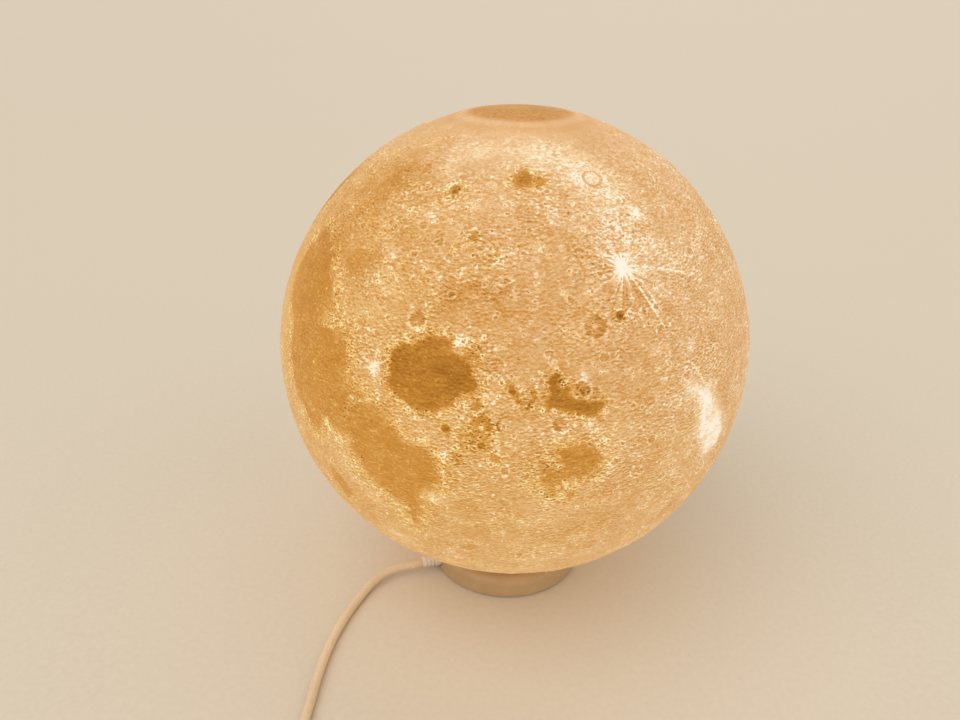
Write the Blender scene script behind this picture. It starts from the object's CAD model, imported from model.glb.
import math

import bpy
import numpy as np
from mathutils import Matrix, Vector


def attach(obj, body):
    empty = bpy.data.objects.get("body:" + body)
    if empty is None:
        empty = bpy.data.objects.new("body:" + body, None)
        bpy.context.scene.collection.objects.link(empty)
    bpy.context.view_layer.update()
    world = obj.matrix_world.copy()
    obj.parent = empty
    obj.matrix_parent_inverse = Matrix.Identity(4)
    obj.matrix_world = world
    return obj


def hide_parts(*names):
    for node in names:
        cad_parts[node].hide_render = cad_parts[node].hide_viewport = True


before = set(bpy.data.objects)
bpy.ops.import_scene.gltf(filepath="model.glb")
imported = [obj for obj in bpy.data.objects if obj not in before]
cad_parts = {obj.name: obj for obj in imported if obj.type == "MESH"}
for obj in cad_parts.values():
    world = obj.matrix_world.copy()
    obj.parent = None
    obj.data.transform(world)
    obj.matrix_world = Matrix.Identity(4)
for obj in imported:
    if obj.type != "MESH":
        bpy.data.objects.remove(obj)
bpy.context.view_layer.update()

# Meshes are in metres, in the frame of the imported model. Named lengths are in millimetres, except
# where MM, which turns millimetres into metres, is a part of them.
MM = 0.001

# ---------- Camera: the photograph's view, 960 by 720 pixels ----------

IMAGE_WIDTH = 960
FOCAL_PIXELS = 800
SENSOR_WIDTH = 36
CAMERA_POSITION = np.array([0, -241.35, 197.63]) * MM
CAMERA_PITCH = math.radians(26.15)
CAMERA_TURN = math.radians(-2.5)
CAMERA_ROLL = math.radians(0.91)


def place_camera():
    """Looks down by the pitch, turned about +Z from +Y by the turn, then rolled about its line of sight."""
    forward = np.array([math.sin(CAMERA_TURN) * math.cos(CAMERA_PITCH),
                        math.cos(CAMERA_TURN) * math.cos(CAMERA_PITCH), -math.sin(CAMERA_PITCH)])
    level = np.array([math.cos(CAMERA_TURN), -math.sin(CAMERA_TURN), 0])
    upright = np.cross(level, forward)
    right = math.cos(CAMERA_ROLL) * level + math.sin(CAMERA_ROLL) * upright
    up = math.cos(CAMERA_ROLL) * upright - math.sin(CAMERA_ROLL) * level
    data = bpy.data.cameras.new("photo_camera")
    data.sensor_fit = "HORIZONTAL"
    data.sensor_width = SENSOR_WIDTH
    data.lens = SENSOR_WIDTH * FOCAL_PIXELS / IMAGE_WIDTH
    data.clip_start = 0.01
    camera = bpy.data.objects.new("photo_camera", data)
    bpy.context.scene.collection.objects.link(camera)
    turn = np.eye(4)
    turn[:3, 0], turn[:3, 1], turn[:3, 2], turn[:3, 3] = right, up, -forward, CAMERA_POSITION
    camera.matrix_world = Matrix(turn.tolist())
    bpy.context.scene.camera = camera


place_camera()

# ---------- Meshes from arrays ----------


def make_mesh(name, vertices, faces, smooth=True):
    """A mesh object at the origin from an array of vertices and a list of arrays of faces."""
    mesh = bpy.data.meshes.new(name)
    mesh.from_pydata(vertices.tolist(), [], [f for group in faces for f in group.tolist()])
    mesh.validate()
    mesh.polygons.foreach_set("use_smooth", np.full(len(mesh.polygons), smooth))
    mesh.update()
    piece = bpy.data.objects.new(name, mesh)
    bpy.context.scene.collection.objects.link(piece)
    return piece


def strip_faces(rows, columns, first=0, flip=False):
    """Quads of a grid of rows by columns whose vertices start at first, row after row, and whose last column
    joins its first one."""
    i, j = np.meshgrid(np.arange(rows - 1), np.arange(columns), indexing="ij")
    a = first + i * columns + j
    b = first + i * columns + (j + 1) % columns
    quads = np.stack([a, b, b + columns, a + columns], -1).reshape(-1, 4)
    return quads[:, ::-1] if flip else quads


def fan_faces(tip, ring, flip=False):
    """Triangles from one vertex to each pair of neighbours on a closed ring of vertices."""
    triangles = np.stack([np.full(len(ring), tip), ring, np.roll(ring, -1)], -1)
    return triangles[:, ::-1] if flip else triangles


def attribute(piece, name, values):
    """Gives each vertex of a piece a number that its material reads."""
    layer = piece.data.attributes.new(name, "FLOAT", "POINT")
    layer.data.foreach_set("value", values.astype(np.float32))


def through(points, steps):
    """A smooth line through points: on each stretch a cubic whose tangent at a point is half the way between
    the point's neighbours, sampled in equal steps."""
    p = np.vstack([2 * points[0] - points[1], points, 2 * points[-1] - points[-2]])
    p0, p1, p2, p3 = (p[i:len(p) - 3 + i, None] for i in range(4))
    t = np.linspace(0, 1, steps, endpoint=False)[None, :, None]
    line = 0.5 * (2 * p1 + (p2 - p0) * t + (2 * p0 - 5 * p1 + 4 * p2 - p3) * t ** 2
                  + (3 * p1 - p0 - 3 * p2 + p3) * t ** 3)
    return np.vstack([line.reshape(-1, 3), points[-1]])


def frames_along(points):
    """Sideways and upward unit vectors across a line at each of its points."""
    along = np.gradient(points, axis=0)
    side = np.cross([0, 0, 1], along)
    side /= np.linalg.norm(side, axis=1)[:, None]
    up = np.cross(along, side)
    return side, up / np.linalg.norm(up, axis=1)[:, None]


def make_tube(name, points, radius, sides):
    """A round tube: a circle of the radius across the line at each of its points, with closed flat ends."""
    side, up = frames_along(points)
    a = np.linspace(0, 2 * math.pi, sides, endpoint=False)[None, :, None]
    rings = points[:, None] + radius * (np.cos(a) * side[:, None] + np.sin(a) * up[:, None])
    vertices = np.vstack([rings.reshape(-1, 3), points[0], points[-1]])
    count = len(points) * sides
    last = np.arange(count - sides, count)
    return make_mesh(name, vertices, [strip_faces(len(points), sides), fan_faces(count, last - last[0], True),
                                      fan_faces(count + 1, last)])


# ---------- The lead: its route on the table, then its coil ----------

CORD_THICKNESS = 3
CORD_RADIUS = CORD_THICKNESS / 2 * MM
LEAD_SIDES = 12
PORT_ANGLE = math.radians(207)
PORT_HEIGHT = 4.2
RELIEF_END = 33.5
STRAIGHT_OUT = 3
PORT_DIRECTION = np.array([math.cos(PORT_ANGLE), math.sin(PORT_ANGLE), 0])
LEAD_START = PORT_DIRECTION * RELIEF_END + [0, 0, PORT_HEIGHT]
LEAD_OUT = PORT_DIRECTION * (RELIEF_END + STRAIGHT_OUT) + [0, 0, PORT_HEIGHT]

# The height of the lead's middle where it lies: a hair over its radius, because its line dips between points
LYING = 1.54
LEAD_BEND = [[-36.4, -17.5, 3.9], [-41, -19.4, 3.2], [-45, -23, 2.5], [-47.8, -27.6, 1.9],
             [-50.2, -33.4, LYING], [-52.2, -39.6, LYING], [-53.8, -46, LYING], [-55, -52.8, LYING],
             [-55.7, -60, LYING], [-56, -67.5, LYING], [-56, -75, LYING], [-56, -82.5, LYING],
             [-56, -90, LYING], [-56, -97.5, LYING], [-56, -105, 1.7]]
COIL_CENTER = np.array([-32, -118])
COIL_RADIUS = 24
COIL_TURNS = 4.125
COIL_PITCH = 3.5
COIL_LOW = 2.1
COIL_STEPS = 24
CLIMB_TURNS = 0.5
COIL_ENTRY = np.array([[-56, -112, COIL_LOW], [-56, -115, COIL_LOW]])
STEPS_FREE = 6
STEPS_WOUND = 2
TAIL_END = np.array([-18, -142, 4])
TAIL_STRAIGHT = 3
TAIL_DROP = 0.1


def coil_line():
    """Loops whose radius shrinks by the pitch each turn on the lower layer and grows again on the upper one,
    with the climb of one pitch in half a turn between them."""
    a = np.arange(round(2 * COIL_TURNS * COIL_STEPS) + 1) / COIL_STEPS
    radius = COIL_RADIUS - COIL_PITCH * (COIL_TURNS - np.abs(a - COIL_TURNS))
    lift = COIL_PITCH * np.clip((a - COIL_TURNS + CLIMB_TURNS / 2) / CLIMB_TURNS, 0, 1)
    turn = math.pi + 2 * math.pi * a
    return np.stack([COIL_CENTER[0] + radius * np.cos(turn), COIL_CENTER[1] + radius * np.sin(turn),
                     COIL_LOW + lift], -1)


def make_lead():
    """The lead as one tube from the plug to the USB end, with each vertex's distance along it in metres."""
    loops = coil_line()
    tail = np.array([loops[-1] + [TAIL_STRAIGHT, 0, -TAIL_DROP], (loops[-1] + TAIL_END) / 2,
                     TAIL_END - [TAIL_STRAIGHT, 0, 0], TAIL_END])
    free = through(np.vstack([LEAD_START, LEAD_OUT, LEAD_BEND, COIL_ENTRY]), STEPS_FREE)
    wound = through(np.vstack([COIL_ENTRY[-1:], loops, tail]), STEPS_WOUND)
    line = np.vstack([free, wound[1:]]) * MM
    lead = make_tube("charging_lead", line, CORD_RADIUS, LEAD_SIDES)
    run = np.concatenate([[0], np.cumsum(np.linalg.norm(np.diff(line, axis=0), axis=1))])
    attribute(lead, "run", np.concatenate([np.repeat(run, LEAD_SIDES), run[[0, -1]]]))
    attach(lead, "base")
    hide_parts("power_cord", "cord_coil")
    return lead, line


lead, lead_line = make_lead()


# The strap round the coil's bundle, and its play past the bundle, across and up
STRAP_PLACE = math.pi / 4
STRAP_THICKNESS = 0.5
STRAP_CORNER = 1.15
STRAP_WIDTH = 7
STRAP_PLAY = (0.6, 0.2)
STRAP_CORNER_POINTS = 9


def make_tie():
    """A flat strap round the bundle of turns: a rounded rectangle with the strap's thickness and width."""
    middle = COIL_RADIUS - COIL_PITCH * COIL_TURNS / 2
    inner_w = COIL_PITCH * COIL_TURNS + CORD_THICKNESS + STRAP_PLAY[0]
    inner_h = COIL_PITCH + CORD_THICKNESS + STRAP_PLAY[1]
    w = inner_w / 2 + STRAP_THICKNESS / 2 - STRAP_CORNER
    h = inner_h / 2 + STRAP_THICKNESS / 2 - STRAP_CORNER
    quarter = np.linspace(0, math.pi / 2, STRAP_CORNER_POINTS)
    outline = []
    for k, (x, z) in enumerate([(w, h), (-w, h), (-w, -h), (w, -h)]):
        turn = quarter + k * math.pi / 2
        outline.append(np.stack([x + STRAP_CORNER * np.cos(turn), z + STRAP_CORNER * np.sin(turn)], -1))
    outline = np.vstack(outline)
    outward = outline - np.clip(outline, [-w, -h], [w, h])
    outward /= np.linalg.norm(outward, axis=1)[:, None]
    rows = []
    for out, side in ((-0.5, -1), (0.5, -1), (0.5, 1), (-0.5, 1)):
        loop = outline + outward * STRAP_THICKNESS * out
        rows.append(np.stack([middle + loop[:, 0], np.full(len(loop), side * STRAP_WIDTH / 2),
                              loop[:, 1] + inner_h / 2 + STRAP_THICKNESS], -1))
    x, y, z = np.moveaxis(np.stack(rows, 1), -1, 0)
    turned = np.stack([COIL_CENTER[0] + x * math.cos(STRAP_PLACE) - y * math.sin(STRAP_PLACE),
                       COIL_CENTER[1] + x * math.sin(STRAP_PLACE) + y * math.cos(STRAP_PLACE), z], -1)
    count = len(outline)
    ring_faces = strip_faces(count + 1, 4) % (4 * count)
    tie = make_mesh("lead_tie", turned.reshape(-1, 3) * MM, [ring_faces], smooth=False)
    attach(tie, "base")
    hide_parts("cord_tie")
    return tie


tie = make_tie()


# ---------- Noise on points ----------


def lattice(i, j, k, seed):
    """A number from 0 to 1 for each corner of a lattice, the same on every run, by mixing its bits."""
    h = (i * 374761393 + j * 668265263 + k * 1440662683 + seed * 1274126177) & 0xFFFFFFFF
    h = ((h ^ (h >> 13)) * 1274126177) & 0xFFFFFFFF
    return ((h ^ (h >> 16)) & 0xFFFF) / 65535


def noise(points, cell, seed):
    """Smooth noise from 0 to 1: the lattice's numbers blended by 3t^2 - 2t^3 along each axis."""
    q = points / cell
    base = np.floor(q).astype(np.int64)
    t = q - base
    t = t * t * (3 - 2 * t)
    total = np.zeros(len(points))
    for corner in np.ndindex(2, 2, 2):
        weight = np.prod(np.where(corner, t, 1 - t), axis=1)
        total += weight * lattice(*(base + corner).T, seed)
    return total


def layered_noise(points, cell, octaves, seed):
    """Noise from -1 to 1: octaves of noise, each half the size and half the strength of the one before."""
    total, weight = np.zeros(len(points)), 0
    for k in range(octaves):
        total += (2 * noise(points, cell / 2 ** k, seed + k) - 1) / 2 ** k
        weight += 1 / 2 ** k
    return total / weight


def smooth_step(low, high, x):
    t = np.clip((x - low) / (high - low), 0, 1)
    return t * t * (3 - 2 * t)


# ---------- The moon's map: east longitudes and north latitudes in degrees ----------

GLOBE_RADIUS = 75
GLOBE_WALL = 2
GLOBE_HEIGHT = 86.456
OPENING_RADIUS = 21
FACING_LONGITUDE = 76
MOON_RADIUS_KM = 1737

# Dark plains as (tone, shore, outline): the tone runs from 0, darkest, to 1, whitest, and over the shore's
# degrees a plain goes from land to full depth
PLAINS = [
    (0.25, 6, [
        (51, 20), (53, 22), (55.5, 22), (59, 24), (63, 23.5), (64.5, 21), (67, 19.5), (69.5, 16),
        (69, 14.5), (66, 14), (65, 12), (62, 10), (58.5, 9.5), (56, 10), (54, 11.5), (51, 13), (51.5, 15.5),
        (51, 17.5)]),
    (0.37, 11, [
        (13, 37), (9, 31.5), (7.5, 26), (10, 20.5), (12, 18), (15.5, 17), (17, 11), (20, 3), (24.5, -1),
        (29.5, -4.5), (32, -2), (33, 1), (38, -0.5), (41, -0.5), (42.5, 1), (40, 4), (41.5, 7.5),
        (45.5, 9.5), (40, 11.5), (39, 17), (37.5, 19.5), (35, 20), (30.5, 19.5), (29, 21), (31.5, 25),
        (29, 27.5), (25, 31.5), (24.5, 33.5), (21, 35)]),
    (0.37, 10, [
        (41, 5.5), (44.5, 8), (47.5, 8), (53.5, 4), (55, 2), (60, 1), (62, -2.5), (63, -4), (61, -7.5),
        (59, -9), (58, -14), (55.5, -21), (54.5, -17), (55, -13.5), (50, -12.5), (48, -9.5), (46, -9),
        (44, -5.5), (42, -3), (42.5, -1), (41, 1.5)]),
    (0.27, 5, [
        (82.5, 18), (85, 19), (86.5, 17), (85.5, 15.5), (89, 13.5), (94.5, 12.5), (93.5, 11), (91, 10),
        (85.5, 12), (82.5, 11.5), (83.5, 12.5), (82.5, 14), (84, 15.5)]),
    (0.36, 11, [
        (86, 3), (87.5, 4), (93, 4), (94, 0), (92, -2), (87, -3.5), (84, -5.5), (83, -4.5), (82.5, 0),
        (85.5, -1), (86.5, 0)]),
    (0.24, 6.5, [
        (74, 57.5), (76, 59.5), (79, 61), (82, 59), (80.5, 56.5), (77, 56)]),
    (0.32, 5.5, [
        (53.5, 53), (53.5, 54.5), (55, 55.5), (57.5, 55.5), (56, 53)]),
    (0.4, 6, [
        (32.5, -13), (35, -14), (38, -19), (34, -22), (31, -19)])]

# The shores of round plains and of small spots, which a radius tells apart. The edges of outlines wander by
# degrees and those of round plains by a share of their radius. The last is the tone outside all plains.
PLAIN_SHORE = 11
SPOT_SHORE = 3.5
LARGE_RADIUS = 2.5
EDGE_WANDER = 0.7
ROUND_WANDER = 0.55
NO_PLAIN_TONE = 0.4

# Other dark plains and spots as (longitude, latitude, radius, tone)
ROUND_PLAINS = [
    (-22, 35, 17, 0.38), (-17, -21, 10, 0.4), (-39, -24, 6.5, 0.38), (-57, 18, 25, 0.4),
    (-23, -10, 5, 0.42), (-31, 7.5, 8, 0.42), (-3, 2, 3, 0.44), (-31.5, 44, 4, 0.4), (-92, -19, 5, 0.4),
    (164, -33, 5, 0.42), (-169, -53, 28, 0.54), (75.7, 16, 0.6, 0.2), (76.3, 15.3, 0.6, 0.2),
    (77.1, 14.6, 0.6, 0.2), (78.3, 14.8, 0.2, 0.26), (77.5, 13.6, 0.4, 0.22), (78.3, 12.9, 0.45, 0.2),
    (79.3, 12.5, 0.45, 0.18), (80.2, 12.9, 0.4, 0.22), (80.3, 15.2, 0.4, 0.22), (80.8, 14.2, 0.45, 0.22),
    (63.9, 6.9, 0.9, 0.28), (69.6, 12.2, 0.9, 0.38), (70.8, 4.2, 0.7, 0.34), (70.5, 9.3, 0.7, 0.34),
    (71.6, 9, 0.7, 0.32), (72.4, 8.1, 0.8, 0.32), (71.5, 6.4, 0.5, 0.34), (72.3, 5.4, 0.5, 0.36),
    (70.6, 7.1, 0.4, 0.36), (66.7, 5.6, 0.6, 0.32), (68, 6.3, 0.5, 0.3), (67.3, 3.9, 0.5, 0.34),
    (69.2, 5.8, 0.5, 0.32), (65.4, 1.3, 0.6, 0.36), (66.4, 0.2, 0.5, 0.38), (69.2, 8.6, 0.65, 0.36),
    (66.9, 22.1, 0.55, 0.36), (67.9, 21.9, 0.6, 0.34), (69.2, 21.4, 0.55, 0.36), (68.2, 23, 0.5, 0.38),
    (64.8, 44.2, 0.8, 0.36), (99.4, 28.5, 0.9, 0.28), (84.9, -6.8, 1, 0.38), (88.6, -7.2, 0.9, 0.4),
    (73.6, 1.6, 0.9, 0.4), (84.1, 57.5, 1.1, 0.4), (60.6, 41.8, 0.6, 0.42), (71.6, 40.7, 0.6, 0.42),
    (86.9, 15.6, 0.9, 0.28), (85.2, 16.8, 0.7, 0.24), (88.5, 16.6, 0.5, 0.3)]

# Bright places as (longitude, latitude, radius, strength)
BRIGHT_PLACES = [
    (102.9, 37.3, 1.6, 0.8), (102.8, 38.5, 5, 0.4), (47.4, 15.8, 1.3, 0.8), (65.4, 24, 1.1, 0.9),
    (90.6, 17.8, 1.5, 0.8), (113.7, 48.1, 1.6, 0.8), (63.8, 1.7, 1.1, 0.8), (44.5, 38.1, 1.3, 0.7),
    (59.2, 33.9, 1.3, 0.35), (73.5, 40.8, 1.8, 0.45), (116.3, 19.8, 1.5, 0.4), (55.3, 65, 5, 0.2),
    (46.7, 61.7, 5, 0.22), (66.1, 67.3, 5, 0.16), (80.5, 65.3, 5, 0.3), (94.5, 65.8, 5, 0.25),
    (104.9, 61.8, 5, 0.22), (107.6, 54.6, 5, 0.2), (103.9, 46.8, 5, 0.2), (111.6, 42.9, 6, 0.2),
    (114.5, 37, 5, 0.25), (88.7, 49.2, 3, 0.3), (82.7, 26.8, 1, 0.5), (93, 6.8, 1.2, 0.5),
    (102.8, -0.1, 1.3, 0.45), (96.4, -2.2, 1.2, 0.45), (106.6, 20.8, 1.2, 0.4), (99, -26.9, 1.4, 0.5),
    (38.5, -3, 3, 0.3), (60.9, -10, 2.4, 0.5), (48.5, -28.7, 3, 0.3), (30.4, 25.2, 2.5, 0.25),
    (50.5, 47.5, 1.2, 0.5), (82.2, -0.6, 1, 0.4), (-11, -43, 3, 0.8), (-20, 9.6, 2.6, 0.7),
    (-47, 24, 1.8, 0.8), (-38, 8, 1.6, 0.6), (168, 40, 2, 0.6), (-120, 30, 2, 0.6), (-99, -7, 2, 0.4),
    (-165, 12, 2.2, 0.5), (150, -52, 2, 0.5)]

# A bright patch with an outline, its strength and its shore
PATCH_STRENGTH = 0.75
PATCH_SHORE = 3.5
BRIGHT_PATCH = [
    (114.5, 12.5), (118, 11), (121.5, 9), (126, 4), (130, -3.5), (128, -7), (126, -8), (123, -7), (121, -4),
    (118, 2.5), (119, 6), (117.5, 9.5), (115, 10.5)]

# Soft places as (longitude, latitude, radius, strength), darker or, where the strength is negative, lighter
SOFT_SHADES = [
    (31, 56.5, 6.5, 0.2), (23, 53, 5, 0.06), (21.1, 43.3, 9, 0.1), (27.2, 36.6, 7, 0.08),
    (64.1, 32.7, 3, 0.1), (36.9, 35.4, 3.6, 0.14), (32.8, 32.7, 2.4, 0.12), (7.8, 42.1, 8, 0.08),
    (73.1, 32.2, 5, 0.03), (89.8, 41.8, 7, 0.03), (90.5, -32.2, 9, 0.03), (66.5, 18, 3.5, 0.05),
    (60.6, 15.1, 5, 0.03), (66.6, 44.3, 4, 0.06), (59.4, 33, 4, 0.04), (80.6, 59.1, 3, 0.05),
    (70.6, 6.4, 3.6, 0.07), (65.8, 0.9, 1.9, 0.08), (88.5, 17.4, 4, 0.04), (46, 61, 6, -0.04),
    (62, 66, 5, -0.03), (79, 66.5, 5, -0.07), (92, 64, 6, -0.11), (104, 60, 6, -0.12), (110, 54, 6, -0.1),
    (108, 47, 6, -0.06), (140, 20, 24, -0.04), (76, -38, 20, -0.035), (84.8, 16, 3, 0.06),
    (91.5, 12.4, 3.5, 0.07), (88.9, 0.8, 5, 0.06), (105, 30.7, 3, 0.05)]

# Places crowded with small dark craters, as (longitude, latitude, radius, strength)
CROWDED_PLACES = [
    (69.5, 23.5, 2.8, 0.9), (73, 19.5, 2.6, 0.8), (71.7, 7.2, 3, 1), (74, 8.8, 1.8, 0.7),
    (68.7, 5.2, 2.2, 0.8), (66.4, 1, 2.6, 0.7), (43, 5.5, 2.4, 0.8), (60, 9, 2.5, 0.4),
    (78.5, 13.5, 2, 0.6), (85, 17, 2, 0.6), (67, 44, 4, 0.5), (40, 33, 4, 0.7), (86, -7, 3, 0.5)]

# Rays as (longitude, latitude, rays), each ray as (bearing from north by east, length, width, strength)
RAYS = [
    (-11, -43, [(20, 60, 1.4, 0.45), (62, 50, 1.2, 0.4), (118, 34, 1.2, 0.4), (-30, 55, 1.3, 0.45),
                (-80, 36, 1.2, 0.4), (165, 30, 1.2, 0.35), (-130, 32, 1.2, 0.4), (0, 44, 1.1, 0.35)]),
    (-20, 9.6, [(15, 17, 1, 0.35), (85, 18, 1, 0.35), (160, 16, 1, 0.35), (-60, 16, 1, 0.35),
                (-120, 15, 1, 0.35)]),
    (-47, 24, [(50, 14, 0.9, 0.4), (150, 16, 0.9, 0.4), (-60, 14, 0.9, 0.4)]),
    (130, 36, [(45, 13, 0.9, 0.35), (-140, 12, 0.9, 0.35)]),
    (-120, 30, [(30, 15, 0.9, 0.35), (150, 14, 0.9, 0.35), (-90, 14, 0.9, 0.35)])]

# Rayed craters for the shader as (place, spokes, core in mm, reach in mm, strength)
RAYED_CRATERS = [((102.9, 37.3), 8, 3.6, 24, 1), ((47.4, 15.8), 5, 2, 8, 0.7)]

# Thin straight rays as two places and a width in mm
THIN_RAYS = [
    ((103.7, 36.4), (112, 20.5), 0.55), ((106.1, 35.3), (111.3, 25), 0.4),
    ((105.8, 37.3), (128.1, 30.9), 0.7), ((102.3, 38.5), (100.3, 44.9), 0.5),
    ((101, 38.2), (94.9, 43), 0.45), ((104.1, 38.7), (108.9, 44.1), 0.5),
    ((116.5, 16.1), (121.4, 8.7), 0.55), ((47.5, 15), (47.9, 11.6), 0.5), ((45.7, 16.5), (42.3, 18.1), 0.4),
    ((48.7, 16.9), (51.2, 19), 0.4), ((100.9, 36.3), (95.5, 33.3), 0.4), ((105.6, 38.2), (113.6, 41.8), 0.4)]

# Round craters for the shader as (place, radius in mm, floor, rim, middle): how much darker the floor is, and
# how much brighter the rim and the middle
DARK_CRATERS = [
    ((93.5, 26.9), 2.7, 0.2, 0.1, 0.26), ((99.4, 28.5), 1.1, 0.12, 0.08, 0),
    ((90.1, 15.4), 1.9, 0.15, 0.2, 0), ((92.3, 14.6), 1.6, 0.1, 0.14, 0), ((86.1, 17.1), 1, 0.12, 0.2, 0),
    ((104.3, 57.5), 1.9, -0.05, -0.34, 0.08), ((55.5, 26.9), 2, 0.16, 0.12, 0.04),
    ((63.9, 6.9), 1.2, 0.1, 0.12, 0), ((73.7, 8.2), 1, 0.18, 0.12, 0), ((70.8, 4.2), 1.1, 0.14, 0.12, 0),
    ((65.3, 11.9), 1, 0, 0.1, 0), ((29.7, 41.8), 1, 0.1, 0.16, 0), ((54.8, 54.2), 1.5, 0.2, 0.08, 0),
    ((86.4, -27.1), 3.4, -0.04, 0.16, 0), ((67.4, -25), 2.6, 0.06, 0.1, 0),
    ((96.6, -25.9), 2.4, 0.05, 0.1, 0), ((74, 34.1), 1.6, 0.06, 0.1, 0),
    ((104.5, 11.4), 1.6, 0.06, 0.12, 0), ((85.6, 8.8), 1.8, 0.2, 0.18, 0.34)]

# Large craters as (longitude, latitude, diameter in km)
CRATERS = [
    (93, 25.8, 164), (98.5, 28.5, 92), (84.5, 8.8, 137), (79, 36, 171), (55.5, 27.7, 126),
    (56.5, 53.6, 125), (61, -9, 132), (60.4, -25.3, 177), (81, -27, 207), (101, 43, 184), (104, 55.5, 162),
    (105, -12, 224), (113, -31, 272), (129, -20, 185), (141, 6, 313), (149, -20, 265), (26.4, -11.4, 100),
    (30, 32, 95), (44.4, 46.7, 87), (40, -44, 200), (-2, -9, 154), (-9, 51.6, 101), (-20, 9.6, 96),
    (-11, -43, 102), (-14, -58, 231), (-55, -44, 206), (-68.6, -5.5, 172), (-128, 2, 400),
    (-146, 58.7, 345), (-150, 18.5, 180), (-152, -36, 460), (-157, -4, 380), (164, 51, 248), (164, 5, 150)]


def towards(longitude, latitude):
    """Unit vectors to places: (sin d cos b, -cos d cos b, sin b), where d is east of the facing longitude."""
    d = np.radians(np.asarray(longitude, float) - FACING_LONGITUDE)
    b = np.radians(np.asarray(latitude, float))
    return np.stack([np.sin(d) * np.cos(b), -np.cos(d) * np.cos(b), np.sin(b)], -1)


def flat_map(directions, longitude, latitude):
    """East and north of a place, in degrees of arc, keeping each point's distance and bearing."""
    middle = towards(longitude, latitude)
    east = np.cross([0, 0, 1], middle)
    east /= np.linalg.norm(east)
    north = np.cross(middle, east)
    arc = np.degrees(np.arccos(np.clip(directions @ middle, -1, 1)))
    x, y = directions @ east, directions @ north
    scale = arc / np.maximum(np.hypot(x, y), 1e-9)
    return np.stack([x * scale, y * scale], -1), arc


def hump(directions, longitude, latitude, radius):
    """1 at a place, falling as e to the minus square of the arc over the radius, both in degrees."""
    return np.exp(-(flat_map(directions, longitude, latitude)[1] / radius) ** 2)


def outline_depth(flat, outline):
    """Degrees inside a closed outline, negative outside: distance to the nearest side, signed by how often a
    line to the east crosses the outline."""
    depth = np.full(len(flat), 1e9)
    inside = np.zeros(len(flat), bool)
    for a, b in zip(outline, np.roll(outline, -1, axis=0)):
        side = b - a
        t = np.clip(((flat - a) @ side) / (side @ side), 0, 1)
        depth = np.minimum(depth, np.linalg.norm(flat - a - t[:, None] * side, axis=1))
        if side[1]:
            crossing = (a[1] > flat[:, 1]) != (b[1] > flat[:, 1])
            inside ^= crossing & (flat[:, 0] < a[0] + side[0] * (flat[:, 1] - a[1]) / side[1])
    return np.where(inside, depth, -depth)


# How far the flat map of an outline is followed, in degrees
MAP_REACH = 60


def depth_in(directions, places):
    """Degrees inside an outline of places, negative outside, on a flat map that ends at its reach."""
    middle = np.mean(places, axis=0)
    flat, arc = flat_map(directions, *middle)
    outline, _ = flat_map(towards(*np.array(places).T), *middle)
    return np.where(arc < MAP_REACH, outline_depth(flat, outline), -MAP_REACH)


def plains_on(directions):
    """Three numbers for each point: 0 on land, 0.5 at a dark plain's edge and 1 well inside it, then the
    plain's tone, then the depth inside it in degrees, negative outside."""
    wander = layered_noise(directions, 0.16, 4, 31)
    shapes = []
    for shade, shore, places in PLAINS:
        shapes.append((shade, depth_in(directions, places) + EDGE_WANDER * wander, shore))
    for longitude, latitude, radius, shade in ROUND_PLAINS:
        _, arc = flat_map(directions, longitude, latitude)
        large = radius > LARGE_RADIUS
        reach = radius * (1 + ROUND_WANDER * wander * large)
        shapes.append((shade, reach - arc, PLAIN_SHORE if large else SPOT_SHORE))
    field = np.full(len(directions), -2.0)
    tone = np.full(len(directions), NO_PLAIN_TONE)
    depth = np.full(len(directions), -float(MAP_REACH))
    for shade, inner, shore in shapes:
        mask = 0.5 + inner / shore
        tone = np.where(mask > field, shade, tone)
        field = np.maximum(field, mask)
        depth = np.maximum(depth, inner)
    return np.clip(field, 0, 1), tone, depth


def brightness_on(directions):
    """Two numbers for each point: the sum of bright places as round humps and of rays as strips that widen
    and fade along their length, or the bright patch where that is more, then the patch alone."""
    streaks = layered_noise(directions, 0.06, 3, 57)
    total = np.zeros(len(directions))
    for longitude, latitude, radius, strength in BRIGHT_PLACES:
        uneven = 1 + 0.5 * streaks * (radius > LARGE_RADIUS)
        total += strength * hump(directions, longitude, latitude, radius) * uneven
    for longitude, latitude, rays in RAYS:
        flat, _ = flat_map(directions, longitude, latitude)
        for bearing, length, width, strength in rays:
            a = math.radians(bearing)
            along = flat @ [math.sin(a), math.cos(a)]
            across = flat @ [math.cos(a), -math.sin(a)]
            spread = width * (0.6 + 0.7 * np.maximum(along, 0) / length)
            strip = np.exp(-(across / spread) ** 2)
            fade = smooth_step(length, 0.2 * length, along)
            total += strength * strip * fade * (along > 0) * (1 + 0.6 * streaks)
    patch = np.clip(0.7 + depth_in(directions, BRIGHT_PATCH) / PATCH_SHORE, 0, 1)
    return np.clip(np.maximum(total, PATCH_STRENGTH * patch), 0, 1.3), patch


# Seeded craters: how many are drawn, their least and largest radius in radians, and the share kept on a plain
SEEDED_CRATERS = 1500
LEAST_CRATER = 0.011
LARGEST_SEEDED = 0.07
SHARE_ON_PLAINS = 0.12

# From this radius on, in radians, a crater's depth and flat floor no longer change with its size
WIDE_CRATER = 0.05


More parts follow.
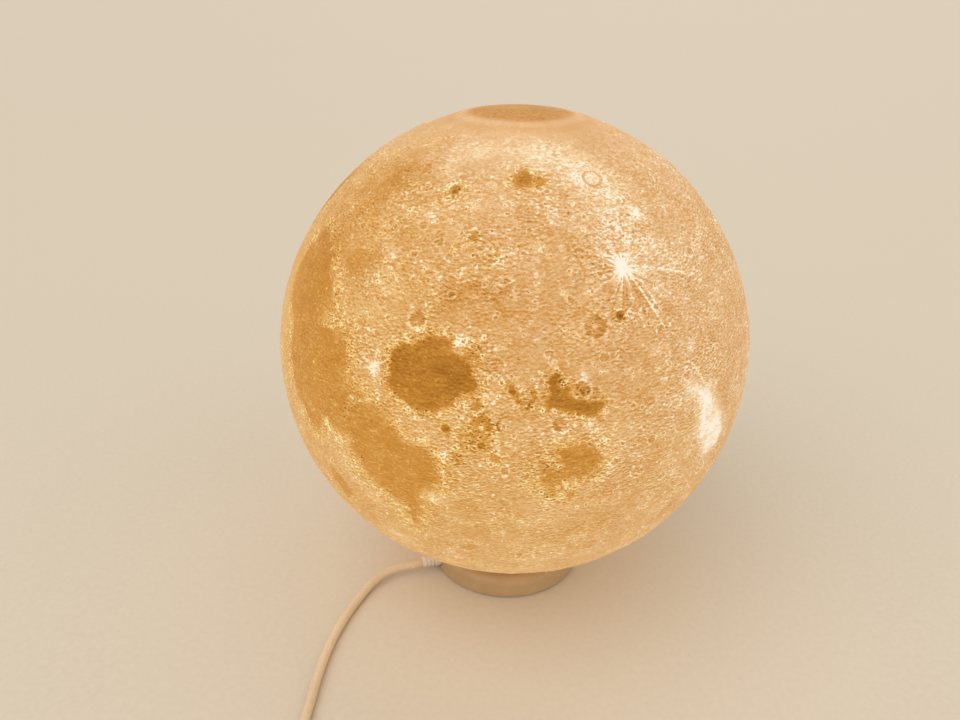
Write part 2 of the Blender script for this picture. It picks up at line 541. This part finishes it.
def crater_list(directions, depth):
    """Large craters from the map, then seeded ones: their number falls with the square of their size, and few
    lie on the dark plains or by the opening at the bottom."""
    dice = np.random.default_rng(11)
    places = towards(*np.array(CRATERS)[:, :2].T)
    sizes = np.array(CRATERS)[:, 2] / 2 / MOON_RADIUS_KM
    spots = dice.normal(size=(SEEDED_CRATERS, 3))
    spots /= np.linalg.norm(spots, axis=1)[:, None]
    radii = LEAST_CRATER * (1 - dice.random(SEEDED_CRATERS)) ** -0.5
    nearest = np.array([depth[np.argmax(directions @ spot)] for spot in spots])
    on_land = (nearest < -1) | (dice.random(SEEDED_CRATERS) < SHARE_ON_PLAINS)
    keep = (radii < LARGEST_SEEDED) & on_land & (spots[:, 2] > -0.93)
    return np.vstack([places, spots[keep]]), np.concatenate([sizes, radii[keep]])


def craters_on(directions, depth):
    """Relief in millimetres and tone of all craters, the tone with the soft places. At x radii from its
    middle, a crater's bowl is x^2 - 1 down to a flat floor, its rim a hump, and its apron falls with x^-3."""
    height, tone = np.zeros(len(directions)), np.zeros(len(directions))
    for place, size in zip(*crater_list(directions, depth)):
        near = np.flatnonzero(directions @ place > math.cos(min(2.4 * size, 1.5)))
        x = np.arccos(np.clip(directions[near] @ place, -1, 1)) / size
        wide = min(size / WIDE_CRATER, 1)
        bowl = np.maximum(x ** 2 - 1, -1 + 0.35 * wide) * (x < 1)
        rim = np.exp(-((x - 1.02) / 0.13) ** 2)
        apron = np.where(x > 1, x ** -3.0, 0) * smooth_step(2.4, 1.4, x)
        scale = 0.16 + 0.26 * wide
        height[near] += scale * (bowl + 0.34 * rim + 0.16 * apron)
        tone[near] += (0.055 + 0.05 * (1 - wide)) * (1.1 * rim + 0.4 * bowl + 0.2 * apron)
    for longitude, latitude, radius, strength in SOFT_SHADES:
        tone -= strength * hump(directions, longitude, latitude, radius)
    return height, tone


# ---------- The printed moon ----------

MOON_COLUMNS = 512
MOON_ROWS = 160
INNER_ROWS = 13

# The relief, in millimetres below the ball's radius: the land, the plains' fall under it, the least fall of
# the relief, the smooth print, and the cap's step. CAP_ARC is the cap's radius in degrees.
LAND_FALL = 0.42
PLAIN_FALL = 0.2
LEAST_FALL = 0.06
SMOOTH_FALL = 0.03
CAP_STEP = 0.12
CAP_ARC = 12
ROUGH_HEIGHT = 0.22
SWELL_HEIGHT = 0.16

# The relief fades out between these arcs from the upper pole, above the opening's rim
SEAT_ARCS = (161, 157)

# The side towards which the print glows more golden, and a golden, a duller and a smoother place, each as
# (longitude, latitude, radius)
WARM_SIDE = np.array([-0.62, -0.3, -0.72])
GOLDEN_PLACE = (23.5, 41.3, 24)
DULL_PLACE = (74, 27, 20)
SMOOTH_PLACE = (2, 22, 14)

# What the material reads on the inner wall, where it is not 0
INNER_LOOKS = {"mare_tone": NO_PLAIN_TONE, "warm": 0.5, "smooth": 1}


def rim_latitude(radius):
    """The latitude at which the round opening cuts a ball of the radius."""
    return -math.degrees(math.acos(OPENING_RADIUS / radius))


def ball_directions(latitudes):
    """Directions to all longitudes of each latitude, row after row, then to the upper pole."""
    longitudes = np.arange(MOON_COLUMNS) * 360 / MOON_COLUMNS
    lat, lon = np.meshgrid(latitudes, longitudes, indexing="ij")
    return np.vstack([towards(lon, lat).reshape(-1, 3), [[0, 0, 1]]])


def printed_surface(outer):
    """For each direction, the radius of the print's outside in millimetres and the numbers that its material
    reads."""
    mare, mare_tone, depth = plains_on(outer)
    bright, hazy = brightness_on(outer)
    bowls, crater_tone = craters_on(outer, depth)
    rough = layered_noise(outer, 0.07, 4, 5)
    swells = layered_noise(outer, 0.5, 3, 91)
    polar = np.degrees(np.arccos(np.clip(outer[:, 2], -1, 1)))
    land = 1 - smooth_step(0.4, 0.75, mare)
    printed = smooth_step(CAP_ARC + 1, CAP_ARC + 7.5, polar)
    cap = 1 - smooth_step(CAP_ARC - 1.6, CAP_ARC + 0.8, polar)

    def ring(out, width):
        """1 on a ring of a width that lies some degrees out from the cap's edge."""
        return np.exp(-((polar - CAP_ARC - out) / width) ** 2)

    ground = ROUGH_HEIGHT * rough * (0.25 + 0.75 * land) + SWELL_HEIGHT * swells
    height = -LAND_FALL + (ground - PLAIN_FALL * (1 - land) + bowls)
    height = np.minimum(height, -LEAST_FALL) * printed * smooth_step(*SEAT_ARCS, polar) - SMOOTH_FALL
    height -= CAP_STEP * (1 - smooth_step(CAP_ARC - 1.2, CAP_ARC + 0.2, polar)) * (1 - ring(1.1, 0.7))

    cap_tone = 0.05 * ring(1.6, 1) - 0.06 * ring(3.8, 0.6) - 0.25 * cap - 0.02 * (1 - printed)
    tone = crater_tone * printed + 0.03 * swells + 0.03 * rough + cap_tone - 0.05 * hump(outer, *DULL_PLACE)
    crowd = sum(strength * hump(outer, *place) for *place, strength in CROWDED_PLACES)
    warm = smooth_step(-0.8, 0.8, outer @ WARM_SIDE) + 0.6 * hump(outer, *GOLDEN_PLACE) - 0.9 * cap
    round_cap = 0.82 * (1 - smooth_step(CAP_ARC + 6.5, CAP_ARC + 10.5, polar)) + 0.1 * cap
    in_the_north = 0.5 * (1 - smooth_step(24, 36, polar))
    low_down = 0.25 * smooth_step(0.25, -0.6, outer[:, 2])
    in_places = np.maximum(0.6 * hazy, 0.75 * hump(outer, *SMOOTH_PLACE))
    smooth = np.max([round_cap, in_the_north, low_down, in_places], axis=0)
    return GLOBE_RADIUS + np.maximum(height, -0.5 * GLOBE_WALL), {
        "mare": mare, "mare_tone": mare_tone, "bright": bright * printed, "tone": tone,
        "crowd": np.minimum(crowd, 1), "warm": np.clip(warm, 0, 1), "smooth": smooth}


def make_moon():
    """The ball as radius times direction over longitude and latitude: relief outside, a smooth wall inside,
    joined by the upright wall of the round opening at the bottom."""
    outer = ball_directions(np.linspace(90, rim_latitude(GLOBE_RADIUS), MOON_ROWS + 1)[1:])
    inner = ball_directions(np.linspace(rim_latitude(GLOBE_RADIUS - GLOBE_WALL), 90, INNER_ROWS + 1)[:-1])
    radius, looks = printed_surface(outer)
    pole = MOON_ROWS * MOON_COLUMNS
    radius[pole - MOON_COLUMNS:pole] = GLOBE_RADIUS - SMOOTH_FALL
    vertices = np.vstack([outer * radius[:, None], inner * (GLOBE_RADIUS - GLOBE_WALL)])
    first_inner = pole + 1
    inner_pole = first_inner + INNER_ROWS * MOON_COLUMNS
    ring = np.arange(MOON_COLUMNS)
    rim, lip = pole - MOON_COLUMNS + ring, first_inner + ring
    wall = np.stack([rim, lip, np.roll(lip, -1), np.roll(rim, -1)], -1)
    moon = make_mesh("printed_moon_globe", (vertices + [0, 0, GLOBE_HEIGHT]) * MM, [
        fan_faces(pole, ring), strip_faces(MOON_ROWS, MOON_COLUMNS, flip=True), wall,
        strip_faces(INNER_ROWS, MOON_COLUMNS, first_inner, flip=True),
        fan_faces(inner_pole, inner_pole - MOON_COLUMNS + ring, flip=True)])
    for name, values in looks.items():
        attribute(moon, name, np.concatenate([values, np.full(len(inner), INNER_LOOKS.get(name, 0))]))
    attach(moon, "moon")
    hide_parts("moon_globe")
    return moon


moon = make_moon()

# ---------- Materials ----------


def linear(red, green, blue):
    """A colour read off a screen, from 0 to 255, as linear light with full alpha."""
    c = np.array([red, green, blue]) / 255
    return [*np.where(c <= 0.04045, c / 12.92, ((c + 0.055) / 1.055) ** 2.4).tolist(), 1]


class Shader:
    """A material in the making. Each call adds one node and returns what comes out of it."""

    def __init__(self, name, **inputs):
        self.material = bpy.data.materials.new(name)
        self.material.use_nodes = True
        self.tree = self.material.node_tree
        self.surface = self.tree.nodes["Principled BSDF"]
        self.place = self.node("TexCoord").outputs["Object"]
        self.set(self.surface, inputs)

    def set(self, node, inputs):
        for name, value in inputs.items():
            socket = node.inputs[name.replace("_", " ") if isinstance(name, str) else name]
            if isinstance(value, bpy.types.NodeSocket):
                self.tree.links.new(value, socket)
            else:
                socket.default_value = value

    def node(self, kind, inputs=None, **settings):
        node = self.tree.nodes.new("ShaderNode" + kind)
        for name, value in settings.items():
            setattr(node, name, value)
        self.set(node, inputs or {})
        return node

    def surface_set(self, **inputs):
        self.set(self.surface, inputs)

    def stretch(self, x, y, z):
        """The place with each axis scaled, so that what follows repeats more often along a larger number."""
        return self.node("Mapping", {"Vector": self.place, "Scale": (x, y, z)}).outputs[0]

    def noise(self, size, detail=2, roughness=0.5, at=None, output=0):
        """Noise whose blotches are about size millimetres across."""
        return self.node("TexNoise", {"Vector": at or self.place, "Scale": 1 / (size * MM),
                                      "Detail": detail, "Roughness": roughness}).outputs[output]

    def cells(self, size, at=None, feature="F1", randomness=1):
        """Distance to the nearest of points scattered some size millimetres apart, and a colour per point."""
        node = self.node("TexVoronoi", {"Vector": at or self.place, "Scale": 1 / (size * MM),
                                        "Randomness": randomness}, feature=feature)
        return node.outputs["Distance"], node.outputs.get("Color")

    def stored(self, name):
        return self.node("Attribute", attribute_name=name).outputs["Fac"]

    def math(self, operation, a, b=0.0, clamp=False):
        return self.node("Math", {0: a, 1: b}, operation=operation, use_clamp=clamp).outputs[0]

    def joined(self, operation, values):
        """The values joined from first to last by one operation."""
        result = values[0]
        for value in values[1:]:
            result = self.math(operation, result, value)
        return result

    def times(self, *values):
        return self.joined("MULTIPLY", values)

    def add(self, *terms):
        """The sum of the terms, in which a tuple stands for the product of what it holds."""
        return self.joined("ADD", [self.times(*term) if isinstance(term, tuple) else term for term in terms])

    def minus(self, a, b):
        return self.math("SUBTRACT", a, b)

    def centred(self, value, strength):
        """A number round 0.5 moved to lie round 0, times the strength."""
        return self.times(self.minus(value, 0.5), strength)

    def ramp(self, value, low, high, to_low=0.0, to_high=1.0):
        """A smooth step from to_low at low to to_high at high."""
        return self.node("MapRange", {"Value": value, "From Min": low, "From Max": high,
                                      "To Min": to_low, "To Max": to_high},
                         interpolation_type="SMOOTHSTEP").outputs[0]

    def vector(self, operation, a, b=(0, 0, 0)):
        return self.node("VectorMath", {0: a, 1: b}, operation=operation).outputs[0]

    def dot(self, a, direction):
        return self.node("VectorMath", {0: a, 1: [float(d) for d in direction]},
                         operation="DOT_PRODUCT").outputs["Value"]

    def length(self, a):
        return self.node("VectorMath", {0: a}, operation="LENGTH").outputs["Value"]

    def mix(self, share, a, b):
        """From number a to number b by a share from 0 to 1."""
        return self.node("Mix", {0: share, 2: a, 3: b}, data_type="FLOAT").outputs[0]

    def blend(self, share, a, b, blend_type="MIX"):
        """From colour a to colour b by a share from 0 to 1."""
        return self.node("Mix", {0: share, 6: a, 7: b}, data_type="RGBA",
                         blend_type=blend_type).outputs[2]

    def palette(self, value, stops):
        node = self.node("ValToRGB", {"Fac": value})
        ramp = node.color_ramp
        while len(ramp.elements) < len(stops):
            ramp.elements.new(1)
        for element, (position, colour) in zip(ramp.elements, stops):
            element.position, element.color = position, colour
        return node.outputs[0]

    def bump(self, height, depth, strength=1.0):
        """Bump whose height from 0 to 1 stands depth millimetres high."""
        self.surface_set(Normal=self.node("Bump", {"Height": height, "Distance": depth * MM,
                                                   "Strength": strength}).outputs[0])
        return self.material


def dress(material, *nodes):
    """Gives a material to CAD nodes by name, or to pieces."""
    for node in nodes:
        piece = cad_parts[node] if isinstance(node, str) else node
        piece.data.materials.clear()
        piece.data.materials.append(material)


MOON_TONES = [(0, linear(128, 78, 8)), (0.12, linear(158, 102, 24)), (0.24, linear(187, 127, 47)),
              (0.4, linear(207, 148, 76)), (0.56, linear(219, 171, 116)), (0.72, linear(234, 194, 145)),
              (0.88, linear(248, 221, 180)), (1, linear(253, 243, 226))]


def on_ball(place):
    """The point of the ball over a place, in metres."""
    return (towards(*place) * GLOBE_RADIUS + [0, 0, GLOBE_HEIGHT]) * MM


def offset_from(s, point):
    """The arrow from a point in metres to the place that is shaded."""
    return s.vector("SUBTRACT", s.place, point.tolist())


def starburst(s, place, spokes):
    """Noise that changes only round a place, so that it runs out from it in rays, and the distance from there
    in millimetres."""
    up = towards(*place)
    east = np.cross([0, 0, 1], up)
    east /= np.linalg.norm(east)
    offset = offset_from(s, on_ball(place))
    flat = s.node("CombineXYZ", {"X": s.dot(offset, east), "Y": s.dot(offset, np.cross(up, east))})
    distance = s.math("DIVIDE", s.length(offset), MM)
    around = s.vector("MULTIPLY", s.vector("NORMALIZE", flat.outputs[0]), (spokes, spokes, spokes))
    along = s.node("CombineXYZ", {"Z": s.times(distance, 0.06)}).outputs[0]
    rays = s.node("TexNoise", {"Vector": s.vector("ADD", around, along), "Scale": 1.0, "Detail": 2.0})
    return rays.outputs[0], distance


def thin_ray(s, start, end, width):
    """1 along the straight line between two places of the ball, fading across it and towards its end."""
    a, b = on_ball(start), on_ball(end)
    length = np.linalg.norm(b - a)
    along = (b - a) / length
    across = np.cross(along, towards(*start))
    offset = offset_from(s, a)
    off = s.math("ABSOLUTE", s.dot(offset, across / (width * MM)))
    run = s.dot(offset, along / length)
    near = s.math("LESS_THAN", s.length(offset), 1.5 * length)
    return s.times(s.ramp(off, 1.0, 0.1), s.ramp(run, -0.05, 0.1), s.ramp(run, 1.0, 0.4), near)


def dark_crater(s, place, radius, floor, rim, middle, broken):
    """Tone of a round crater: a darker floor, a brighter rim broken up by noise, and a bright middle."""
    distance = s.math("DIVIDE", s.length(offset_from(s, on_ball(place))), radius * MM)
    edge = s.add(distance, (broken, 0.45))
    tone = s.ramp(edge, 1.15, 0.9, 0.0, -floor)
    ring = s.ramp(s.math("ABSOLUTE", s.minus(edge, 1.3)), 0.3, 0.05, 0.0, rim)
    tone = s.add(tone, (ring, s.ramp(broken, -0.1, 0.1, 0.4, 1.1)))
    return s.add(tone, s.ramp(edge, 0.55, 0.25, 0.0, middle)) if middle else tone


def pits(s, at, size, keep, smallest, span, line):
    """Rings round a share, keep, of scattered points, and the floors inside them. The least radius, its span
    and the line's width are in units of the points' spacing, size."""
    spacing, shade = s.cells(size, at)
    pick = s.node("SeparateColor", {"Color": shade})
    radius = s.add((pick.outputs[0], span), smallest)
    chosen = s.ramp(pick.outputs[1], 1 - keep, 1.05 - keep)
    ring = s.ramp(s.math("ABSOLUTE", s.minus(spacing, radius)), line, 0.2 * line)
    return s.times(ring, chosen), s.times(s.ramp(s.minus(radius, spacing), 0.0, line), chosen)


# The land's tone, the noise of the dashes as (size, detail, roughness), the colour that golden places are
# multiplied by, and the one that the glow's colour is multiplied by for the unlit print
LAND_LEVEL = 0.57
DASHES = (1.15, 1.5, 0.55)
GOLDEN = (1, 0.945, 0.6, 1)
BODY_SHADE = (0.3, 0.3, 0.3, 1)


def moon_material():
    """A warm print lit from inside. One tone, from 0 to 1, runs through a palette: that of the land or of the
    dark plains, plus craters, dashes along the print's layers, curls, rings, pocks, crowded places, rays and
    white dots."""
    s = Shader("printed_moon", Roughness=0.62, Specular_IOR_Level=0.25, Emission_Strength=0.74,
               Sheen_Weight=0.25, Sheen_Roughness=0.4, Sheen_Tint=linear(255, 226, 196))
    add, times, minus, centred, ramp, stored = s.add, s.times, s.minus, s.centred, s.ramp, s.stored

    layered = s.stretch(1.1, 1.1, 2)
    fine = s.noise(*DASHES, layered)
    fine_above = s.noise(*DASHES, s.vector("ADD", layered, (0, 0, 0.7 * MM)))
    small = s.noise(0.7, 1, 0.5, layered)
    ragged = s.noise(2.4, 4, 0.7, s.stretch(1, 1, 1.4))
    patchy = s.noise(6, 3, 0.55, s.stretch(1, 1, 1.3))
    broad = s.noise(24, 3, 0.5)
    lively = s.noise(15, 2, 0.5)
    streaks = s.noise(5, 2, 0.5, s.stretch(1, 1, 9))
    wobble = s.vector("SUBTRACT", s.noise(1.6, 2, 0.5, output=1), (0.5, 0.5, 0.5))
    bent = s.vector("ADD", s.place, s.vector("MULTIPLY", wobble, (2 * MM, 2 * MM, 2 * MM)))

    # Land and dark plains, with a ragged shore between them
    edge = add(stored("mare"), centred(ragged, 0.62), centred(fine, 0.4), centred(small, 0.2))
    sea = ramp(edge, 0.44, 0.56)
    shore = times(ramp(edge, 0.08, 0.4), ramp(edge, 0.64, 0.5))
    snow = add(stored("bright"), centred(ragged, 0.7), centred(patchy, 0.7), centred(fine, 0.25))
    calm = minus(1.0, stored("smooth"))
    mottle = add(centred(patchy, 0.34), centred(ragged, 0.2))
    land = add(centred(broad, 0.22), (mottle, ramp(calm, 0, 1, 0.3)), LAND_LEVEL)
    pale_specks = times(ramp(ragged, 0.54, 0.7), ramp(stored("mare_tone"), 0.28, 0.36), 0.11)
    sea_tone = add(stored("mare_tone"), centred(broad, 0.2), centred(streaks, 0.2), centred(patchy, 0.28),
                   centred(ragged, 0.12), pale_specks)
    uneven_sea = ramp(stored("mare_tone"), 0.25, 0.36, 0.32, 0.42)
    tone = add(s.mix(sea, land, sea_tone), (stored("tone"), ramp(fine, 0.3, 0.7, 0.6, 1.3)),
               ramp(snow, 0.45, 0.85, 0.0, 0.2), (stored("bright"), 0.26))

    # Small marks: dashes, curls, rings, pocks and dots
    curls, curl_floors = pits(s, bent, 1.9, 0.55, 0.18, 0.2, 0.16)
    rings, ring_floors = pits(s, bent, 4.6, 0.45, 0.1, 0.22, 0.08)
    pocks = pits(s, bent, 2.7, 0.4, 0.06, 0.18, 0.1)[1]
    clusters = add(ramp(patchy, 0.44, 0.6, 0.3, 1.0), (shore, 0.8))
    dot_distance, dot_shade = s.cells(3.3)
    dot_pick = s.node("SeparateColor", {"Color": dot_shade}).outputs[0]
    dots = ramp(minus(add((dot_pick, 0.19), (shore, 0.06)), dot_distance), 0.02, 0.08)
    dashes = add(centred(fine, 0.5), (minus(fine, fine_above), 0.46), centred(small, 0.36),
                 ramp(fine, 0.6, 0.72, 0.0, 0.12))
    life = add(ramp(lively, 0.3, 0.7, 0.7, 1.35), (shore, 0.5), (stored("bright"), 0.2))
    crowded = add((curls, 0.26), (curl_floors, -0.24), (pocks, -0.24), ramp(fine, 0.47, 0.37, 0.03, -0.2),
                  ramp(small, 0.44, 0.34, 0.0, -0.12))
    marks = add((curls, clusters, 0.24), (curl_floors, clusters, -0.2), (rings, 0.18), (ring_floors, -0.13),
                (pocks, clusters, -0.22), (shore, ramp(small, 0.5, 0.62), 0.11),
                (shore, ramp(small, 0.46, 0.34), -0.17), (stored("crowd"), crowded))
    tone = add(tone, (dashes, life, calm, s.mix(sea, 1.0, uneven_sea), ramp(dashes, 0.0, 0.2, 1.0, 0.8)),
               (marks, calm, s.mix(sea, 1.0, times(uneven_sea, 0.5))),
               (dots, s.mix(sea, 0.42, times(uneven_sea, 0.7)), calm),
               (sea, uneven_sea, ramp(fine, 0.52, 0.7, -0.06, 0.3), ramp(patchy, 0.4, 0.6, 0.3, 1.0)))

    # Rayed craters: a bright core, bright rays and darker gaps between them. Then thin rays and dark craters.
    for place, spokes, core, reach, strength in RAYED_CRATERS:
        rays, distance = starburst(s, place, spokes)
        uneven = ramp(fine, 0.3, 0.65, 0.35, 1.0)
        bright_core = ramp(rays, 0.36, 0.58, 0.08, 0.46 * strength)
        bright_rays = ramp(rays, 0.51, 0.63, 0.0, 0.24 * strength)
        gaps = ramp(rays, 0.45, 0.36, 0.0, -0.14 * strength)
        tone = add(tone, (ramp(distance, core * 1.6, core * 0.2), bright_core),
                   (ramp(distance, reach, 0.15 * reach), bright_rays, uneven),
                   (ramp(distance, 0.8 * reach, 0.2 * reach), gaps))
    for ray in THIN_RAYS:
        tone = add(tone, (thin_ray(s, *ray), ramp(fine, 0.3, 0.6, 0.16, 0.34)))
    for crater in DARK_CRATERS:
        tone = add(tone, dark_crater(s, *crater, centred(fine, 1.0)))

    colour = s.palette(s.math("ADD", tone, 0.0, clamp=True), MOON_TONES)
    warmth = add((stored("warm"), 0.62), (sea, 0.4), (shore, 0.4), centred(s.noise(11, 3, 0.6), 0.7))
    golden = s.math("ADD", warmth, times(stored("bright"), -0.7), clamp=True)
    colour = s.blend(golden, colour, GOLDEN, "MULTIPLY")
    s.surface_set(Emission_Color=colour, Base_Color=s.blend(1.0, colour, BODY_SHADE, "MULTIPLY"))
    relief = add((add(fine, small), calm), (rings, 0.6), (ragged, 0.6))
    return s.bump(relief, 0.25, 0.8)


def scaled(colour, factor):
    """A colour times a factor, with full alpha."""
    return [min(1, c * factor) for c in colour[:3]] + [1]


def moulded(name, colour, roughness=0.45, grain=0.35, depth=0.02, spread=0.05, **inputs):
    """Moulded plastic or rubber: a fine grain in its bump, roughness that varies with faint rub marks, and a
    colour that drifts a little."""
    s = Shader(name, **inputs)
    drift = s.noise(9, 3)
    rubs = s.noise(2.2, 4, 0.6, s.stretch(1, 1, 3))
    shades = [(0.3, scaled(colour, 1 - 3 * spread)), (0.5, colour), (0.7, scaled(colour, 1 + 2 * spread))]
    s.surface_set(Base_Color=s.palette(s.mix(0.35, drift, rubs), shades),
                  Roughness=s.ramp(rubs, 0.3, 0.7, roughness - 0.06, roughness + 0.08))
    return s.bump(s.noise(grain, 2), depth)


def plated(name, colour, roughness, at=(1, 1, 1), size=0.5):
    """Plated metal with fine marks along one axis and dull patches."""
    s = Shader(name, Metallic=1.0)
    marks = s.noise(size, 3, 0.6, s.stretch(*at))
    patches = s.noise(3, 3)
    s.surface_set(Base_Color=s.palette(patches, [(0.35, scaled(colour, 0.82)), (0.6, colour)]),
                  Roughness=s.ramp(s.mix(0.5, marks, patches), 0.35, 0.65, roughness - 0.08, roughness + 0.1))
    return s.bump(marks, 0.01)


def board(name, mask, copper, pad):
    """A circuit board: tracks as a network of cell edges under the mask, round pads and a fine surface."""
    s = Shader(name, Specular_IOR_Level=0.5)
    edges, _ = s.cells(2.6, feature="DISTANCE_TO_EDGE", randomness=0.7)
    dots, _ = s.cells(3.1)
    tracks = s.ramp(edges, 0.1, 0.05)
    pads = s.ramp(dots, 0.16, 0.11)
    colour = s.blend(pads, s.blend(tracks, mask, copper), pad)
    s.surface_set(Base_Color=s.blend(s.times(s.noise(1.2, 3), 0.15), colour, (0, 0, 0, 1)),
                  Roughness=s.ramp(pads, 0, 1, 0.3, 0.5), Metallic=s.times(pads, 0.8))
    return s.bump(s.add(tracks, pads), 0.03)


def lit(name, colour, glow, strength, roughness=0.35, size=1.2):
    """A lit clear or frosted piece: an uneven glow under a smooth surface with a fine ripple."""
    s = Shader(name, Emission_Strength=strength)
    uneven = s.noise(size, 3)
    s.surface_set(Base_Color=s.palette(uneven, [(0.3, scaled(colour, 0.9)), (0.7, colour)]),
                  Emission_Color=s.palette(uneven, [(0.3, scaled(glow, 0.75)), (0.6, glow)]),
                  Roughness=s.ramp(uneven, 0.3, 0.7, roughness - 0.08, roughness + 0.08))
    return s.bump(uneven, 0.02)


def two_wires():
    """One wire's insulation is red and the other's black, by the side of the lamp's middle plane."""
    s = Shader("wire_insulation", Specular_IOR_Level=0.5)
    side = s.node("SeparateXYZ", {"Vector": s.place}).outputs["Y"]
    marks = s.noise(0.8, 3)
    colour = s.blend(s.ramp(side, -0.2 * MM, 0.2 * MM), linear(178, 30, 26), linear(34, 33, 36))
    s.surface_set(Base_Color=s.blend(s.times(marks, 0.2), colour, (0, 0, 0, 1)),
                  Roughness=s.ramp(marks, 0.3, 0.7, 0.3, 0.45))
    return s.bump(marks, 0.02)


def woven():
    """The tie: diagonal ribs of a narrow weave crossed by its warp, with a fuzz of loops on top."""
    s = Shader("tie_fabric", Sheen_Weight=0.5, Sheen_Roughness=0.5)
    ribs = s.node("TexWave", {"Vector": s.place, "Scale": 420.0, "Distortion": 1.2, "Detail": 2.0},
                  wave_type="BANDS", bands_direction="DIAGONAL").outputs["Fac"]
    loops = s.noise(0.35, 3, 0.65)
    weave = s.mix(0.5, ribs, loops)
    s.surface_set(Base_Color=s.palette(weave, [(0.25, linear(18, 18, 20)), (0.75, linear(62, 60, 60))]),
                  Roughness=s.ramp(weave, 0.2, 0.8, 0.8, 0.95))
    return s.bump(weave, 0.25)


def lead_material():
    """Soft satin insulation: faint draw marks along its run, a slow drift of colour and dust-dull patches."""
    s = Shader("lead_plastic", Specular_IOR_Level=0.45)
    run = s.node("CombineXYZ", {"X": s.stored("run")}).outputs[0]
    drift = s.noise(30, 2, 0.5, run)
    marks = s.noise(1.1, 4, 0.6)
    s.surface_set(Base_Color=s.palette(s.mix(0.5, drift, marks),
                                       [(0.3, linear(214, 190, 160)), (0.7, linear(236, 216, 188))]),
                  Roughness=s.ramp(marks, 0.3, 0.7, 0.36, 0.5))
    return s.bump(marks, 0.03)


dress(moon_material(), moon)
dress(lead_material(), lead)
dress(woven(), tie)
dress(moulded("base_plastic", linear(192, 160, 121), roughness=0.42, Specular_IOR_Level=0.45),
      "base_housing", "bottom_cover")
dress(moulded("button_plastic", linear(212, 184, 146), roughness=0.36, grain=0.5), "power_button")
dress(moulded("collar_plastic", linear(232, 212, 184), roughness=0.5), "globe_collar")
dress(moulded("post_plastic", linear(236, 228, 212), roughness=0.5), "lamp_post")
dress(moulded("plug_plastic", linear(244, 230, 222), roughness=0.4, depth=0.03), "plug_body", "usb_plug_body")
dress(moulded("tongue_plastic", linear(236, 232, 224), roughness=0.5), "usb_tongue")
dress(moulded("grey_silicone", linear(176, 168, 156), roughness=0.7, grain=0.25, depth=0.03), "seat_gasket")
dress(moulded("foot_rubber", linear(92, 86, 80), roughness=0.8, grain=0.5, depth=0.06), "foot_ring")
dress(moulded("black_plastic", linear(34, 33, 34), roughness=0.5, grain=0.4), "switch_body", "dc_jack")
dress(moulded("cell_wrap", linear(58, 104, 158), roughness=0.3, grain=2.5, depth=0.05, Coat_Weight=0.4,
              Coat_Roughness=0.2), "battery_cell")
dress(plated("screw_steel", linear(196, 194, 190), 0.35), "cover_screws", "post_screws", "board_screws")
dress(plated("nickel_plate", linear(214, 208, 196), 0.25, at=(1, 6, 6)),
      "cell_spring_plate", "cell_top_plate", "jack_pin", "plug_barrel", "usb_shell")
dress(board("light_board", linear(236, 234, 226), linear(222, 219, 208), linear(212, 204, 186)),
      "light_board")
dress(board("control_board", linear(24, 84, 50), linear(34, 104, 62), linear(206, 200, 178)), "control_board")
dress(lit("light_chip", linear(236, 206, 120), linear(255, 224, 160), 3.0), "light_chips")
dress(lit("frosted_plastic", linear(240, 232, 214), linear(255, 214, 150), 1.0, 0.6, 3), "diffuser_dome")
dress(lit("charge_light", linear(244, 190, 184), linear(255, 120, 116), 9.0),
      "charge_light_pipe", "charge_chip")
dress(two_wires(), "light_wires")

# ---------- Floor, light and surroundings, in metres ----------

FLOOR_WIDTH = 60
SUN_ANGLE = math.radians(60)

# Soft lights as (name, place, power, colour), all turned to the origin
LIGHTS = [("key_light", (-0.8, -1.0, 1.5), 1.25, (1, 0.97, 0.93)),
          ("fill_light", (1.4, -0.7, 1.0), 0.35, (1, 0.98, 0.95)),
          ("back_light", (0.2, 1.2, 1.1), 0.3, (1, 0.98, 0.96))]


def make_floor():
    """A large plain sheet at the height that the lamp stands on."""
    corners = np.array([[-1, -1, 0], [1, -1, 0], [1, 1, 0], [-1, 1, 0]]) * FLOOR_WIDTH / 2
    floor = make_mesh("studio_floor", corners, [np.array([[0, 1, 2, 3]])], smooth=False)
    s = Shader("studio_floor", Specular_IOR_Level=0.2)
    grain = s.noise(2, 3)
    s.surface_set(Base_Color=s.palette(grain, [(0.3, linear(214, 204, 190)), (0.7, linear(218, 208, 194))]),
                  Roughness=s.ramp(grain, 0.3, 0.7, 0.55, 0.65))
    dress(s.bump(grain, 0.02), floor)


def add_light(name, place, power, colour):
    """A sun with a wide soft disc."""
    data = bpy.data.lights.new(name, "SUN")
    data.energy, data.color, data.angle = power, colour, SUN_ANGLE
    lamp = bpy.data.objects.new(name, data)
    lamp.location = place
    lamp.rotation_euler = Vector(place).to_track_quat("Z", "Y").to_euler()
    bpy.context.scene.collection.objects.link(lamp)


make_floor()
for light in LIGHTS:
    add_light(*light)

world = bpy.data.worlds.new("studio_world")
world.use_nodes = True
world.node_tree.nodes["Background"].inputs["Color"].default_value = linear(238, 230, 214)
world.node_tree.nodes["Background"].inputs["Strength"].default_value = 0.72
bpy.context.scene.world = world
bpy.context.scene.view_settings.view_transform = "Standard"
